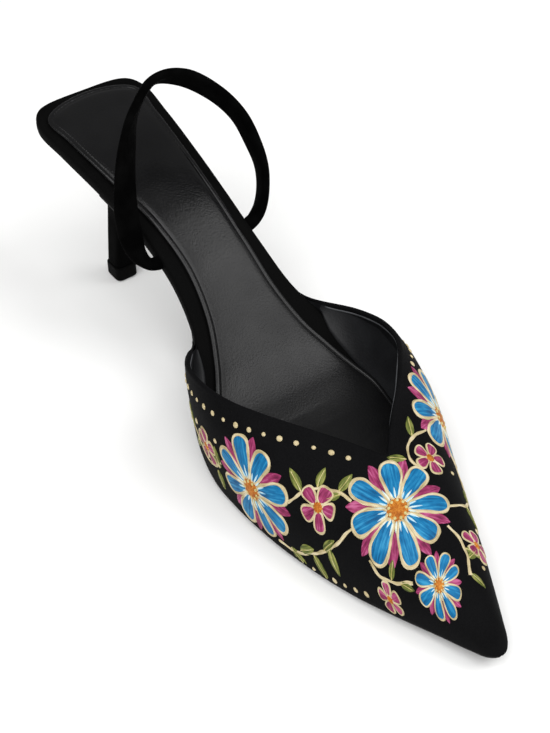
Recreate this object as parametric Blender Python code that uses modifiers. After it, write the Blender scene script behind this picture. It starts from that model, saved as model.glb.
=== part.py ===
"""Slingback kitten heel for the left foot: a pointed upper on a wrapped footbed, with a slim heel.

Tables and sizes are in millimetres. A station is the distance back from the toe tip, "across" is
measured from the last's long axis towards the lateral side, and "height" is above the floor.
The finished frame has +Z up, the toe towards -Y and the lateral side towards +X.
"""

import math

import bmesh
import bpy
import numpy as np

MM = 0.001
AXIS_ACROSS = -2.1  # where the last's long axis lies in the finished frame
TOE_STATION = -123.5  # where the toe tip lies in the finished frame

GAP = 0.3  # clearance between pieces that touch on the real shoe
WALL = 1.6  # upper with its lining
OUTLINE_STEPS = 12  # points between two rows of an outline table

TOE_TIP = (-8.6, 2.0)  # across, station
HEEL_BACK = (1.9, 247.0)
FOOTBED_FRONT = 5.0  # the footbed stops short of the toe, where the upper closes in over it
TOE_EASE = 0.8  # how far its edge draws in at the toe

# Edge of the insole, which is the bottom of the last.
INSOLE_COLUMNS = ("station", "medial", "lateral")
INSOLE_ROWS = (
    (3.6, -11.0, -6.3),
    (8.5, -13.0, -3.6),
    (19.0, -16.4, 1.6),
    (32.5, -21.3, 8.2),
    (47.0, -26.0, 15.5),
    (64.0, -30.0, 24.0),
    (80.0, -32.6, 32.0),
    (98.0, -33.5, 37.8),
    (115.0, -32.2, 39.0),
    (130.0, -27.3, 36.5),
    (142.0, -20.0, 31.5),
    (153.0, -14.0, 27.5),
    (168.0, -11.3, 25.3),
    (185.0, -12.2, 24.2),
    (205.0, -15.7, 24.0),
    (225.0, -19.0, 24.3),
    (239.0, -20.3, 24.0),
    (245.2, -16.6, 19.8),
)

# Height of the insole's underside, and thickness of the footbed above it and the outsole below it.
PROFILE_COLUMNS = ("station", "feather", "board", "sole")
PROFILE_ROWS = (
    (0.0, 6.6, 2.0, 1.8),
    (25.0, 4.0, 2.2, 1.9),
    (62.0, 2.0, 2.5, 2.0),
    (104.0, 2.0, 2.8, 2.0),
    (120.0, 5.6, 3.4, 2.0),
    (136.0, 13.2, 4.2, 2.0),
    (153.0, 23.0, 4.7, 2.0),
    (170.0, 34.0, 4.8, 2.0),
    (188.0, 44.2, 4.8, 2.0),
    (208.0, 52.6, 4.8, 2.0),
    (228.0, 58.8, 4.8, 2.0),
    (247.0, 63.4, 4.8, 2.0),
)

# Ridge along the top of the last. Behind the throat it guides the wings and isn't part of the upper.
RIDGE_COLUMNS = ("station", "across", "height")
RIDGE_ROWS = (
    (0.0, -8.7, 7.4),
    (2.0, -8.6, 10.6),
    (7.0, -8.3, 14.2),
    (20.0, -7.0, 20.5),
    (40.0, -4.8, 27.5),
    (62.5, -2.4, 33.4),
    (90.0, 0.3, 43.0),
    (110.0, 2.2, 50.0),
    (130.0, 4.0, 56.5),
    (154.0, 6.0, 66.0),
)
RIDGE_START = 7.0
ROUNDNESS = 2.3  # exponent of the superellipse that a section of the last follows
SIDE_BULGE = 1.6

# Top edge of the upper, as the angle up a section: 0 at the feather edge, 90 on the ridge.
TOPLINE_COLUMNS = ("station", "medial", "lateral")
TOPLINE_ROWS = (
    (62.5, 90.0, 90.0),
    (72.0, 82.0, 80.0),
    (82.0, 73.5, 68.5),
    (92.0, 65.0, 57.0),
    (101.0, 57.5, 46.0),
    (110.0, 51.0, 36.0),
    (125.0, 37.0, 21.5),
    (140.0, 17.0, 8.0),
    (148.0, 4.5, 3.0),
    (151.0, 2.0, 2.0),
)

# How far the wings stand out from the last, which no foot holds in.
SPLAY_COLUMNS = ("station", "medial", "lateral")
SPLAY_ROWS = (
    (62.5, 0.0, 0.0),
    (72.0, 2.5, 0.9),
    (82.0, 6.0, 2.4),
    (96.0, 10.5, 2.8),
    (112.0, 14.0, 1.4),
    (126.0, 13.0, 0.8),
    (140.0, 8.0, 0.3),
    (151.0, 0.0, 0.0),
)
THROAT = 62.5  # station of the point of the V
WING_END = 151.0
VAMP_COLUMNS, WING_COLUMNS, WALL_ROWS = 14, 14, 12

# Edge of the padded sock that lies on the footbed.
SOCK_COLUMNS = ("station", "medial", "lateral")
SOCK_ROWS = (
    (42.0, -14.0, 4.0),
    (50.0, -18.5, 10.0),
    (64.0, -23.0, 18.5),
    (80.0, -27.2, 26.0),
    (98.0, -29.0, 31.9),
    (112.0, -28.0, 33.8),
    (121.0, -25.0, 31.2),
    (130.0, -20.4, 27.4),
    (140.0, -14.2, 23.4),
    (153.0, -8.3, 20.8),
    (168.0, -5.7, 20.0),
    (185.0, -7.4, 19.6),
    (205.0, -12.0, 19.5),
    (225.0, -15.6, 19.7),
    (238.0, -16.6, 19.2),
)
SOCK_FRONT = (-4.0, 39.5)
SOCK_BACK = (1.7, 243.5)
SOCK_THICK = 1.4

# The heel by its share of the height: the share of the way from the post's section to the seat's
# outline, and how far the post has leaned forward and to the lateral side.
HEEL_COLUMNS = ("rise", "spread", "forward", "lateral")
HEEL_ROWS = (
    (0.00, 0.000, 0.0, 0.0),
    (0.20, 0.000, 1.0, 0.3),
    (0.40, 0.000, 2.2, 0.6),
    (0.58, 0.010, 3.2, 0.9),
    (0.68, 0.045, 3.5, 1.0),
    (0.77, 0.150, 3.3, 1.0),
    (0.85, 0.380, 2.4, 0.7),
    (0.91, 0.720, 1.1, 0.3),
    (0.95, 0.930, 0.3, 0.1),
    (1.00, 1.000, 0.0, 0.0),
)
POST_CENTRE = (-0.7, 223.8)
POST_HALF = 4.0
POST_SQUARE = 5.0  # exponent of the post's rounded square
SEAT_CENTRE = (1.9, 227.0)
SEAT_FRONT = 207.0
SEAT_INSET = 1.2
HEEL_SIDES = 40
TIP_HEIGHT = 6.0
TIP_PROUD = 0.45  # how far the top piece stands out round the post

# Middle line of the sling strap from its medial to its lateral end. The turn is the angle in degrees by
# which the band's width leaves the normal of the loop's plane, so 0 is a plain hoop.
STRAP_COLUMNS = ("across", "station", "height", "turn", "width")
STRAP_ROWS = (
    (-14.6, 176.8, 40.4, -50.0, 4.8),
    (-17.6, 178.6, 44.4, -75.0, 6.6),
    (-18.8, 181.0, 51.4, -100.0, 8.2),
    (-18.0, 184.2, 60.0, -95.0, 8.4),
    (-15.2, 188.2, 68.6, -76.0, 8.4),
    (-10.4, 193.4, 77.0, -58.0, 8.4),
    (-3.2, 199.6, 85.0, -30.0, 8.4),
    (7.8, 204.4, 90.8, -15.0, 8.4),
    (18.0, 202.8, 88.9, -30.0, 8.4),
    (27.0, 197.0, 82.4, -22.0, 8.4),
    (32.9, 191.6, 74.0, -11.0, 8.4),
    (35.0, 186.4, 65.2, -5.0, 8.4),
    (35.5, 182.0, 56.8, 7.0, 8.4),
    (33.6, 178.8, 49.2, 8.0, 7.6),
    (30.9, 177.0, 44.2, -4.0, 6.6),
    (28.0, 176.3, 41.2, -30.0, 5.4),
)
STRAP_THICK = 3.0
STRAP_LOOP_NORMAL = (0.0, 0.88, -0.475)  # of the plane that the loop lies in
STRAP_STEPS = 5  # points between two rows
STRAP_SEAT = 1.7  # height of the strap's end above the footbed's underside
STRAP_STATIONS = (176.4, 176.2)  # where its medial and lateral ends meet the footbed
STRAP_END_TURN, STRAP_END_WIDTH = -61.0, 5.0  # its ends lie along the footbed's climb, gathered in

SUEDE_BLACK = (0.012, 0.012, 0.013, 1.0)
LEATHER_GREY = (0.035, 0.036, 0.040, 1.0)
SOLE_BLACK = (0.020, 0.020, 0.020, 1.0)
TIP_BLACK = (0.015, 0.014, 0.014, 1.0)

COLLECTION = "slingback_kitten_heel"


def column(rows, columns, name, at):
    """A table's column at any station: a cubic through the rows that never overshoots them."""
    table = np.array(rows, float)
    x, y = table[:, 0], table[:, columns.index(name)]
    step, rise = np.diff(x), np.diff(y)
    slope = rise / step
    inner = np.zeros(len(slope) - 1)
    same_way = slope[:-1] * slope[1:] > 0
    inner[same_way] = 2 * slope[:-1][same_way] * slope[1:][same_way] / (slope[:-1] + slope[1:])[same_way]
    tangent = np.concatenate([slope[:1], inner, slope[-1:]])
    at = np.clip(np.asarray(at, float), x[0], x[-1])
    i = np.clip(np.searchsorted(x, at, side="right") - 1, 0, len(step) - 1)
    t = (at - x[i]) / step[i]
    return (
        y[i] * (1 + 2 * t) * (1 - t) ** 2
        + y[i + 1] * t * t * (3 - 2 * t)
        + step[i] * (tangent[i] * t * (1 - t) ** 2 - tangent[i + 1] * t * t * (1 - t))
    )


def profile(name, station):
    return column(PROFILE_ROWS, PROFILE_COLUMNS, name, station)


def smooth_line(points, steps, closed):
    """A curve through the points whose speed follows the spacing of the points."""
    p = np.array(points, float)
    before = p[-1:] if closed else 2 * p[:1] - p[1:2]
    after = p[:2] if closed else 2 * p[-1:] - p[-2:-1]
    q = np.concatenate([before, p, after])
    spacing = np.linalg.norm(np.diff(q[:, :3], axis=0), axis=1)
    knots = np.concatenate([[0], np.cumsum(spacing ** 0.5)])
    line = []
    for i in range(1, len(q) - 2):
        a, b, c, d = knots[i - 1 : i + 3]
        for t in np.linspace(b, c, steps, endpoint=False):
            low = [((v - t) * q[k] + (t - u) * q[k + 1]) / (v - u)
                   for k, (u, v) in zip((i - 1, i, i + 1), ((a, b), (b, c), (c, d)))]
            mid = [((c - t) * low[0] + (t - a) * low[1]) / (c - a),
                   ((d - t) * low[1] + (t - b) * low[2]) / (d - b)]
            line.append(((c - t) * mid[0] + (t - b) * mid[1]) / (c - b))
    if not closed:
        line.append(p[-1])
    return np.array(line)


class Outline:
    """A closed outline in plan, made from a table of edges and its two end points."""

    def __init__(self, rows, front, back):
        medial = [(m, s) for s, m, l in rows]
        lateral = [(l, s) for s, m, l in rows]
        loop = [front, *medial, back, *reversed(lateral)]
        self.line = smooth_line(loop, OUTLINE_STEPS, True)

    def grown(self, by):
        """The outline moved outwards by this much; less than nothing moves it inwards."""
        along = np.roll(self.line, -1, axis=0) - np.roll(self.line, 1, axis=0)
        along /= np.linalg.norm(along, axis=1)[:, None]
        return self.line + np.asarray(by).reshape(-1, 1) * np.stack([-along[:, 1], along[:, 0]], 1)

    def edges(self, station, by=0.0):
        """Medial and lateral edge at a station, with the outline grown by this much."""
        line = self.grown(by)
        line = np.roll(line, -int(np.argmin(line[:, 1])), axis=0)
        turn = int(np.argmax(line[:, 1]))
        sides = line[: turn + 1], np.concatenate([line[turn:], line[:1]])[::-1]
        found = []
        for side in sides:
            s = np.maximum.accumulate(side[:, 1])
            found.append(np.interp(station, s, side[:, 0]))
        return found

    def reach(self, by=0.0):
        """First and last station of the grown outline."""
        line = self.grown(by)
        return line[:, 1].min(), line[:, 1].max()


INSOLE = Outline(INSOLE_ROWS, TOE_TIP, HEEL_BACK)
UPPER_TIP = INSOLE.reach(WALL + GAP)[0]
SOCK = Outline(SOCK_ROWS, SOCK_FRONT, SOCK_BACK)


def material(name, colour, roughness):
    made = bpy.data.materials.new(name)
    made.use_nodes = True
    shader = made.node_tree.nodes["Principled BSDF"]
    shader.inputs["Base Color"].default_value = colour
    shader.inputs["Roughness"].default_value = roughness
    return made


def add_object(name, points, faces, finish):
    """A smooth-shaded object from points in the last's own millimetres."""
    placed = (np.asarray(points, float) + (AXIS_ACROSS, TOE_STATION, 0.0)) * MM
    mesh = bpy.data.meshes.new(name)
    mesh.from_pydata(placed.tolist(), [], faces)
    work = bmesh.new()
    work.from_mesh(mesh)
    bmesh.ops.remove_doubles(work, verts=work.verts, dist=1e-6)
    work.to_mesh(mesh)
    work.free()
    mesh.materials.append(finish)
    mesh.shade_smooth()
    mesh.set_sharp_from_angle(angle=math.radians(35))
    made = bpy.data.objects.new(name, mesh)
    bpy.data.collections[COLLECTION].objects.link(made)
    return made


def loft(name, loops, finish):
    """A closed solid through loops of equal count, each turning the same way, with flat ends."""
    count = len(loops[0])
    faces = [list(range(count))[::-1], [len(loops) * count - count + k for k in range(count)]]
    for i in range(len(loops) - 1):
        for k in range(count):
            a, b = i * count + k, i * count + (k + 1) % count
            faces.append([a, b, b + count, a + count])
    made = add_object(name, np.concatenate(loops), faces, finish)
    work = bmesh.new()
    work.from_mesh(made.data)
    bmesh.ops.recalc_face_normals(work, faces=work.faces)
    work.to_mesh(made.data)
    work.free()
    return made


def plate_loop(station, medial, lateral, low, high, radius, across):
    """Section of a plate: flat below, with its two upper edges rounded."""
    radius = min(radius, 0.45 * (lateral - medial), 0.9 * (high - low))
    turn = np.radians([0, 30, 60, 90])
    left = np.stack([medial + radius * (1 - np.cos(turn)), high - radius * (1 - np.sin(turn))], 1)
    right = np.stack([lateral - radius * (1 - np.cos(turn)), high - radius * (1 - np.sin(turn))], 1)[::-1]
    share = np.linspace(0, 1, across + 1)[1:-1, None]
    top = left[-1] + (right[0] - left[-1]) * share
    low_left, low_right = np.array([medial, low]), np.array([lateral, low])
    under = low_right + (low_left - low_right) * share
    ring = np.concatenate([[low_left], left, top, right, [low_right], under])
    return np.stack([ring[:, 0], np.full(len(ring), station), ring[:, 1]], 1)


def stations_of(outline, by, count, first=None, last=None):
    """Stations along an outline, closer together at a round end."""
    low, high = outline.reach(by)
    low, high = low + 0.15 if first is None else first, high - 0.15 if last is None else last
    share = np.linspace(0, 1, count)
    ends = 0.5 - 0.5 * np.cos(np.pi * share)
    return low + (high - low) * (0.3 * share + 0.7 * ends)


def make_footbed(finish):
    """The insole board wrapped in the upper's suede; its soft edge shows from the waist to the heel."""
    loops = []
    for s in stations_of(INSOLE, 0.0, 50, FOOTBED_FRONT):
        medial, lateral = INSOLE.edges(s, -TOE_EASE * max(0.0, 1 - s / THROAT))
        low = float(profile("feather", s)) + GAP
        high = low + float(profile("board", s))
        loops.append(plate_loop(s, medial, lateral, low, high, 1.8, 5))
    return loft("footbed", loops, finish)


def outsole_growth(station):
    """How far the outsole stands out from the insole: under the wall in front, tucked in behind."""
    share = np.clip((np.asarray(station) - 146.0) / 16.0, 0, 1)
    return (WALL + GAP - 1.1) - 1.8 * share * share * (3 - 2 * share)


def make_outsole(finish):
    """A thin sole with a flat tread, a toe spring and an arch, which ends under the heel's breast."""
    loops = []
    first = INSOLE.reach(float(outsole_growth(0)))[0] + 0.15
    for s in stations_of(INSOLE, 0.0, 46, first, SEAT_FRONT - 1.0):
        medial, lateral = INSOLE.edges(s, float(outsole_growth(s)))
        high = float(profile("feather", s))
        loops.append(plate_loop(s, medial, lateral, high - float(profile("sole", s)), high, 0.5, 5))
    return loft("outsole", loops, finish)


def make_sock(finish):
    """The padded sock lining on the footbed."""
    loops = []
    for s in stations_of(SOCK, 0.0, 34):
        medial, lateral = SOCK.edges(s)
        low = float(profile("feather", s) + profile("board", s)) + 2 * GAP
        loops.append(plate_loop(s, medial, lateral, low, low + SOCK_THICK, 0.9, 5))
    return loft("sock_lining", loops, finish)


def last_point(side, station, angle):
    """A point on the last's outer surface: side is 0 medial or 1 lateral, angle runs up the section."""
    across = float(INSOLE.edges(station, WALL + GAP)[side])
    low = float(profile("feather", station)) + GAP
    turn = math.radians(angle)
    inward = 1 - math.cos(turn) ** (2 / ROUNDNESS)
    upward = math.sin(turn) ** (2 / ROUNDNESS)
    reached = station + RIDGE_START * max(0.0, 1 - station / THROAT) ** 2 * inward
    ridge = [float(column(RIDGE_ROWS, RIDGE_COLUMNS, name, reached)) for name in ("across", "height")]
    splay = float(column(SPLAY_ROWS, SPLAY_COLUMNS, ("medial", "lateral")[side], station))
    bulge = SIDE_BULGE * math.sin(2 * turn) * min(1.0, (station - UPPER_TIP) / 30)
    bulge = (bulge + splay * math.sin(turn) ** 1.5) * (1 if side else -1)
    return (
        across + (ridge[0] - across) * inward + bulge,
        reached,
        low + (ridge[1] - low) * upward,
    )


def upper_columns():
    """Stations of the upper's columns from the toe tip to a wing's end."""
    vamp = UPPER_TIP + (THROAT - UPPER_TIP) * np.linspace(0, 1, VAMP_COLUMNS + 1) ** 1.6
    wing = THROAT + (WING_END - THROAT) * np.linspace(0, 1, WING_COLUMNS + 1)[1:] ** 1.1
    return np.concatenate([vamp, wing])


def make_upper(finish):
    """One open wall round the last, from the feather edge up to the V of the throat."""
    stations = upper_columns()
    rows = WALL_ROWS + 1
    points, faces = [], []
    for side, name in enumerate(("medial", "lateral")):
        base = len(points)
        for s in stations:
            top = float(column(TOPLINE_ROWS, TOPLINE_COLUMNS, name, s))
            points += [last_point(side, s, top * j / WALL_ROWS) for j in range(rows)]
        for i in range(len(stations) - 1):
            for j in range(WALL_ROWS):
                a, b = base + i * rows + j, base + (i + 1) * rows + j
                faces.append([a, a + 1, b + 1, b] if side == 0 else [a, b, b + 1, a + 1])
    made = add_object("upper", points, faces, finish)
    wall = made.modifiers.new("wall", "SOLIDIFY")
    wall.thickness = WALL * MM
    wall.offset = -1.0
    wall.use_even_offset = True
    return made


def post_loop(height, grow):
    """The heel post's section: a square with round corners."""
    turn = np.linspace(0, 2 * np.pi, HEEL_SIDES, endpoint=False)
    c, s = np.cos(turn), np.sin(turn)
    half = (POST_HALF + grow) * np.stack([np.sign(c) * abs(c) ** (2 / POST_SQUARE),
                                          np.sign(s) * abs(s) ** (2 / POST_SQUARE)], 1)
    return np.column_stack([np.array(POST_CENTRE) + half, np.full(HEEL_SIDES, height)])


def seat_loop():
    """The heel seat's outline under the footbed, one point for each point of the post's section."""
    line = INSOLE.grown(-SEAT_INSET)
    line = line[line[:, 1] >= SEAT_FRONT]
    medial, lateral = INSOLE.edges(SEAT_FRONT, -SEAT_INSET)
    breast = np.stack([np.linspace(lateral, medial, 30), np.full(30, SEAT_FRONT)], 1)
    line = np.concatenate([line, breast]) - SEAT_CENTRE
    angle = np.arctan2(line[:, 1], line[:, 0])
    order = np.argsort(angle)
    post = post_loop(0.0, 0.0)[:, :2] - POST_CENTRE
    at = np.arctan2(post[:, 1], post[:, 0])
    reach = np.interp(at, angle[order], np.linalg.norm(line, axis=1)[order], period=2 * np.pi)
    plan = np.array(SEAT_CENTRE) + np.stack([reach * np.cos(at), reach * np.sin(at)], 1)
    return np.column_stack([plan, profile("feather", plan[:, 1])])


def make_heel(finish):
    """A slim covered heel that flares into a cup under the footbed."""
    foot, seat = post_loop(TIP_HEIGHT + GAP, 0.0), seat_loop()
    loops = []
    for row in HEEL_ROWS:
        at = dict(zip(HEEL_COLUMNS, row))
        plan = foot[:, :2] + (seat[:, :2] - foot[:, :2]) * at["spread"] + (at["lateral"], -at["forward"])
        loops.append(np.column_stack([plan, foot[:, 2] + (seat[:, 2] - foot[:, 2]) * at["rise"]]))
    return loft("heel", loops, finish)


def make_heel_tip(finish):
    """The top piece that the heel stands on."""
    rows = ((0.0, TIP_PROUD - 0.5), (0.5, TIP_PROUD), (TIP_HEIGHT - 0.3, TIP_PROUD), (TIP_HEIGHT, TIP_PROUD - 0.3))
    return loft("heel_tip", [post_loop(height, grow) for height, grow in rows], finish)


def strap_ends():
    """The points on the footbed's side that the strap comes out of."""
    found = []
    for side, station in enumerate(STRAP_STATIONS):
        edge = float(INSOLE.edges(station, 2 * GAP)[side])
        height = float(profile("feather", station)) + GAP + STRAP_SEAT
        found.append((edge, station, height, STRAP_END_TURN, STRAP_END_WIDTH))
    return found


def make_strap(finish):
    """An elastic band from one side of the footbed round the back of the ankle to the other."""
    ends = strap_ends()
    line = smooth_line([ends[0], *STRAP_ROWS, ends[1]], STRAP_STEPS, False)
    middle = line[:, :3]
    turns = np.radians(line[:, STRAP_COLUMNS.index("turn")])
    widths = line[:, STRAP_COLUMNS.index("width")]
    along = np.gradient(middle, axis=0)
    along[0], along[-1] = (-1, 0, 0), (-1, 0, 0)
    along /= np.linalg.norm(along, axis=1)[:, None]
    corner = 0.5 * STRAP_THICK
    arc = np.radians([0, 30, 60, 90, 120, 150, 180])
    loops = []
    for point, direction, turn, width in zip(middle, along, turns, widths):
        hoop = STRAP_LOOP_NORMAL - direction * (direction @ STRAP_LOOP_NORMAL)
        hoop /= np.linalg.norm(hoop)
        wide = hoop * math.cos(turn) + np.cross(direction, hoop) * math.sin(turn)
        thick = np.cross(direction, wide)
        cap = np.stack([0.5 * width - corner + corner * np.sin(arc), corner * np.cos(arc)], 1)
        section = np.concatenate([cap, -cap])
        loops.append(point + section[:, :1] * wide + section[:, 1:] * thick)
    return loft("sling_strap", loops, finish)


def main():
    for old in list(bpy.data.objects):
        bpy.data.objects.remove(old)
    bpy.context.scene.collection.children.link(bpy.data.collections.new(COLLECTION))
    suede = material("black_suede", SUEDE_BLACK, 0.9)
    leather = material("grey_sock_leather", LEATHER_GREY, 0.5)
    make_outsole(material("black_sole", SOLE_BLACK, 0.6))
    make_footbed(suede)
    make_sock(leather)
    make_upper(suede)
    make_heel(suede)
    make_heel_tip(material("black_top_piece", TIP_BLACK, 0.5))
    make_strap(suede)


main()
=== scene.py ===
import math

import bmesh
import bpy
import numpy as np
from mathutils import Matrix


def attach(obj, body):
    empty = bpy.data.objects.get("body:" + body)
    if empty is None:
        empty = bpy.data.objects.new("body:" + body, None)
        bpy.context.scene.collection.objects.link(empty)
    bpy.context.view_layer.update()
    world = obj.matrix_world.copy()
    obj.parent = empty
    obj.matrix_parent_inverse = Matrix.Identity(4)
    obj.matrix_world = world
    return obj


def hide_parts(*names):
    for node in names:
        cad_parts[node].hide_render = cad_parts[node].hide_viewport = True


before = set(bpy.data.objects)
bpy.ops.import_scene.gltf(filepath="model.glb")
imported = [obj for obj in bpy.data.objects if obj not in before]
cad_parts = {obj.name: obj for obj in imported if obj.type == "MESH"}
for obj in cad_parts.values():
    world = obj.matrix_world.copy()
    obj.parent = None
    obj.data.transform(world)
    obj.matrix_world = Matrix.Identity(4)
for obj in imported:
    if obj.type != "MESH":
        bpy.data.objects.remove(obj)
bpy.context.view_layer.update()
scene = bpy.context.scene
mm = 0.001
print("frame loaded:", len(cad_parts), "solids")


def unit(vectors):
    # each vector over its own length
    return vectors / np.maximum(np.linalg.norm(vectors, axis=-1, keepdims=True), 1e-9)


def placeFacing(name, data, location, lookAt, roll=0.0):
    # right and up of a level object that looks at its aim, turned about the line of sight by roll degrees
    forward = unit(np.subtract(lookAt, location))
    right = unit(np.cross(forward, (0, 0, 1)))
    up = np.cross(right, forward)
    c, s = math.cos(math.radians(roll)), math.sin(math.radians(roll))
    turned = np.eye(4)
    turned[:3] = np.stack([right * c + up * s, up * c - right * s, -forward, location], 1)
    placed = bpy.data.objects.new(name, data)
    placed.matrix_world = Matrix(turned.tolist())
    scene.collection.objects.link(placed)
    return placed


camera = {
    "location": (-0.2254, -0.32166, 0.37459),
    "lookAt": (-0.00304, -0.00005, 0.025),
    "roll": -1.141,  # degrees
    "lens": 78.34,  # mm
    "sensor": 36.0,  # mm, along the picture's long side
    "clip": (0.01, 20.0),
}
viewer = bpy.data.cameras.new("shoeCamera")
viewer.lens, viewer.sensor_width = camera["lens"], camera["sensor"]
viewer.clip_start, viewer.clip_end = camera["clip"]
scene.camera = placeFacing("shoeCamera", viewer, camera["location"], camera["lookAt"], camera["roll"])
print("camera set")

# the last, in mm: station runs back from the toe tip, across runs to the lateral side, and height is above
# the floor
lastForm = {
    "origin": (-2.1, -123.5, 0),  # from the last's own mm to the row frame
    "gap": 0.3,  # between neighbouring pieces
    "wall": 1.6,  # thickness of the upper
    "toeTip": (-8.6, 2),
    "heelBack": (1.9, 247),
    "insole": (  # station, medial edge, lateral edge
        (3.6, -11, -6.3), (8.5, -13, -3.6), (19, -16.4, 1.6), (32.5, -21.3, 8.2), (47, -26, 15.5),
        (64, -30, 24), (80, -32.6, 32), (98, -33.5, 37.8), (115, -32.2, 39), (130, -27.3, 36.5),
        (142, -20, 31.5), (153, -14, 27.5), (168, -11.3, 25.3), (185, -12.2, 24.2), (205, -15.7, 24),
        (225, -19, 24.3), (239, -20.3, 24), (245.2, -16.6, 19.8)),
    "profile": (  # station, underside of the insole, footbed thickness, outsole thickness
        (0, 6.6, 2, 1.8), (25, 4, 2.2, 1.9), (62, 2, 2.5, 2), (104, 2, 2.8, 2), (120, 5.6, 3.4, 2),
        (136, 13.2, 4.2, 2), (153, 23, 4.7, 2), (170, 34, 4.8, 2), (188, 44.2, 4.8, 2), (208, 52.6, 4.8, 2),
        (228, 58.8, 4.8, 2), (247, 63.4, 4.8, 2)),
    "ridge": (  # station, across, height of the top line of the last
        (0, -8.7, 7.4), (2, -8.6, 10.6), (7, -8.3, 14.2), (20, -7, 20.5), (40, -4.8, 27.5),
        (62.5, -2.4, 33.4), (90, 0.3, 43), (110, 2.2, 50), (130, 4, 56.5), (154, 6, 66)),
    "ridgeStart": 7,  # how far back the sections lean at the toe
    "roundness": 2.3,  # exponent of a section's superellipse
    "sideBulge": 1.6,
    "topline": (  # station, medial angle, lateral angle: 0 at the feather edge, 90 on the ridge
        (62.5, 90, 90), (72, 82, 80), (82, 73.5, 68.5), (92, 65, 57), (101, 57.5, 46), (110, 51, 36),
        (125, 37, 21.5), (140, 17, 8), (148, 4.5, 3), (151, 2, 2)),
    "splay": (  # station, how far each wing stands out
        (62.5, 0, 0), (72, 2.5, 0.9), (82, 6, 2.4), (96, 10.5, 2.8), (112, 14, 1.4), (126, 13, 0.8),
        (140, 8, 0.3), (151, 0, 0)),
    "throat": 62.5,
    "wingEnd": 151,
    "wingTuck": (1.5, 137, 14),  # how far the wing's end lies in against the footbed, first station, run
    "bulgeRun": 30,  # stations over which the side bulge grows from the toe tip
    "splayPower": 1.5,
}


def tableAt(rows, index, at):
    # a cubic through the rows of a table whose slopes are harmonic means, so it never overshoots them
    table = np.array(rows, float)
    x, y = table[:, 0], table[:, index]
    step = np.diff(x)
    slope = np.diff(y) / step
    before, after = slope[:-1], slope[1:]
    rising = before * after > 0
    inner = np.where(rising, 2 * before * after / np.where(rising, before + after, 1), 0)
    tangent = np.concatenate([slope[:1], inner, slope[-1:]])
    at = np.clip(np.asarray(at, float), x[0], x[-1])
    i = np.clip(np.searchsorted(x, at, side="right") - 1, 0, len(step) - 1)
    t = (at - x[i]) / step[i]
    return (y[i] * (1 + 2 * t) * (1 - t) ** 2 + y[i + 1] * t * t * (3 - 2 * t)
            + step[i] * (tangent[i] * t * (1 - t) ** 2 - tangent[i + 1] * t * t * (1 - t)))


def bySide(rows, side, station):
    # the medial column of a table, or the lateral one where side is 1
    return np.where(side, tableAt(rows, 2, station), tableAt(rows, 1, station))


def smoothStep(share):
    # three squares less two cubes of a share held between 0 and 1
    share = np.clip(share, 0, 1)
    return share * share * (3 - 2 * share)


def smoothLine(points, steps, closed=False):
    # a curve through the points: every span blends three straight lines by the square roots of the spacings
    p = np.array(points, float)
    before = p[-1:] if closed else 2 * p[:1] - p[1:2]
    after = p[:2] if closed else 2 * p[-1:] - p[-2:-1]
    q = np.concatenate([before, p, after])
    spacing = np.linalg.norm(np.diff(q[:, :3], axis=0), axis=1)
    knots = np.concatenate([[0], np.cumsum(spacing ** 0.5)])
    spans = len(q) - 3
    a, b, c, d = (knots[i:i + spans, None, None] for i in range(4))
    qa, qb, qc, qd = (q[i:i + spans, None, :] for i in range(4))
    t = b + (c - b) * (np.arange(steps) / steps)[None, :, None]
    ab = ((b - t) * qa + (t - a) * qb) / (b - a)
    bc = ((c - t) * qb + (t - b) * qc) / (c - b)
    cd = ((d - t) * qc + (t - c) * qd) / (d - c)
    abc = ((c - t) * ab + (t - a) * bc) / (c - a)
    bcd = ((d - t) * bc + (t - b) * cd) / (d - b)
    line = (((c - t) * abc + (t - b) * bcd) / (c - b)).reshape(-1, p.shape[1])
    return line if closed else np.concatenate([line, p[-1:]])


def runOf(points):
    # the way along each line up to each of its points: the lengths of its steps, added up
    steps = np.linalg.norm(np.diff(points, axis=-2), axis=-1).cumsum(-1)
    return np.concatenate([np.zeros_like(steps[..., :1]), steps], -1)


def evenLine(line, count):
    # the same curve with its points at even distances; columns after the third are carried along
    run = runOf(line[:, :3])
    at = np.linspace(0, run[-1], count)
    return np.stack([np.interp(at, run, column) for column in line.T], 1)


def outlineOf(rows, front, back):
    # a closed curve from the front point down the medial edge to the back point and up the lateral edge
    table = np.array(rows, float)
    points = np.concatenate([[front], table[:, [1, 0]], [back], table[::-1][:, [2, 0]]])
    return smoothLine(points, 12, closed=True)


def grown(line, by):
    # every point moved out along the outline's normal
    along = unit(np.roll(line, -1, axis=0) - np.roll(line, 1, axis=0))
    return line + np.asarray(by).reshape(-1, 1) * np.stack([-along[:, 1], along[:, 0]], 1)


def edgesOf(line):
    # the outline cut at its first and last station into a medial and a lateral edge, each (stations, across)
    line = np.roll(line, -int(np.argmin(line[:, 1])), axis=0)
    turn = int(np.argmax(line[:, 1]))
    halves = line[:turn + 1], np.concatenate([line[turn:], line[:1]])[::-1]
    return [(np.maximum.accumulate(half[:, 1]), half[:, 0]) for half in halves]


def edgeAt(edges, side, station):
    # across on the medial edge, or on the lateral one where side is 1
    return np.where(side, np.interp(station, *edges[1]), np.interp(station, *edges[0]))


def profileAt(index, station):
    # a column of the last's profile: 1 the insole's underside, 2 the footbed's and 3 the outsole's thickness
    return tableAt(lastForm["profile"], index, station)


insoleLine = outlineOf(lastForm["insole"], lastForm["toeTip"], lastForm["heelBack"])
wallEdges = edgesOf(grown(insoleLine, lastForm["wall"] + lastForm["gap"]))
upperTip = float(wallEdges[0][0][0])


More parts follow.
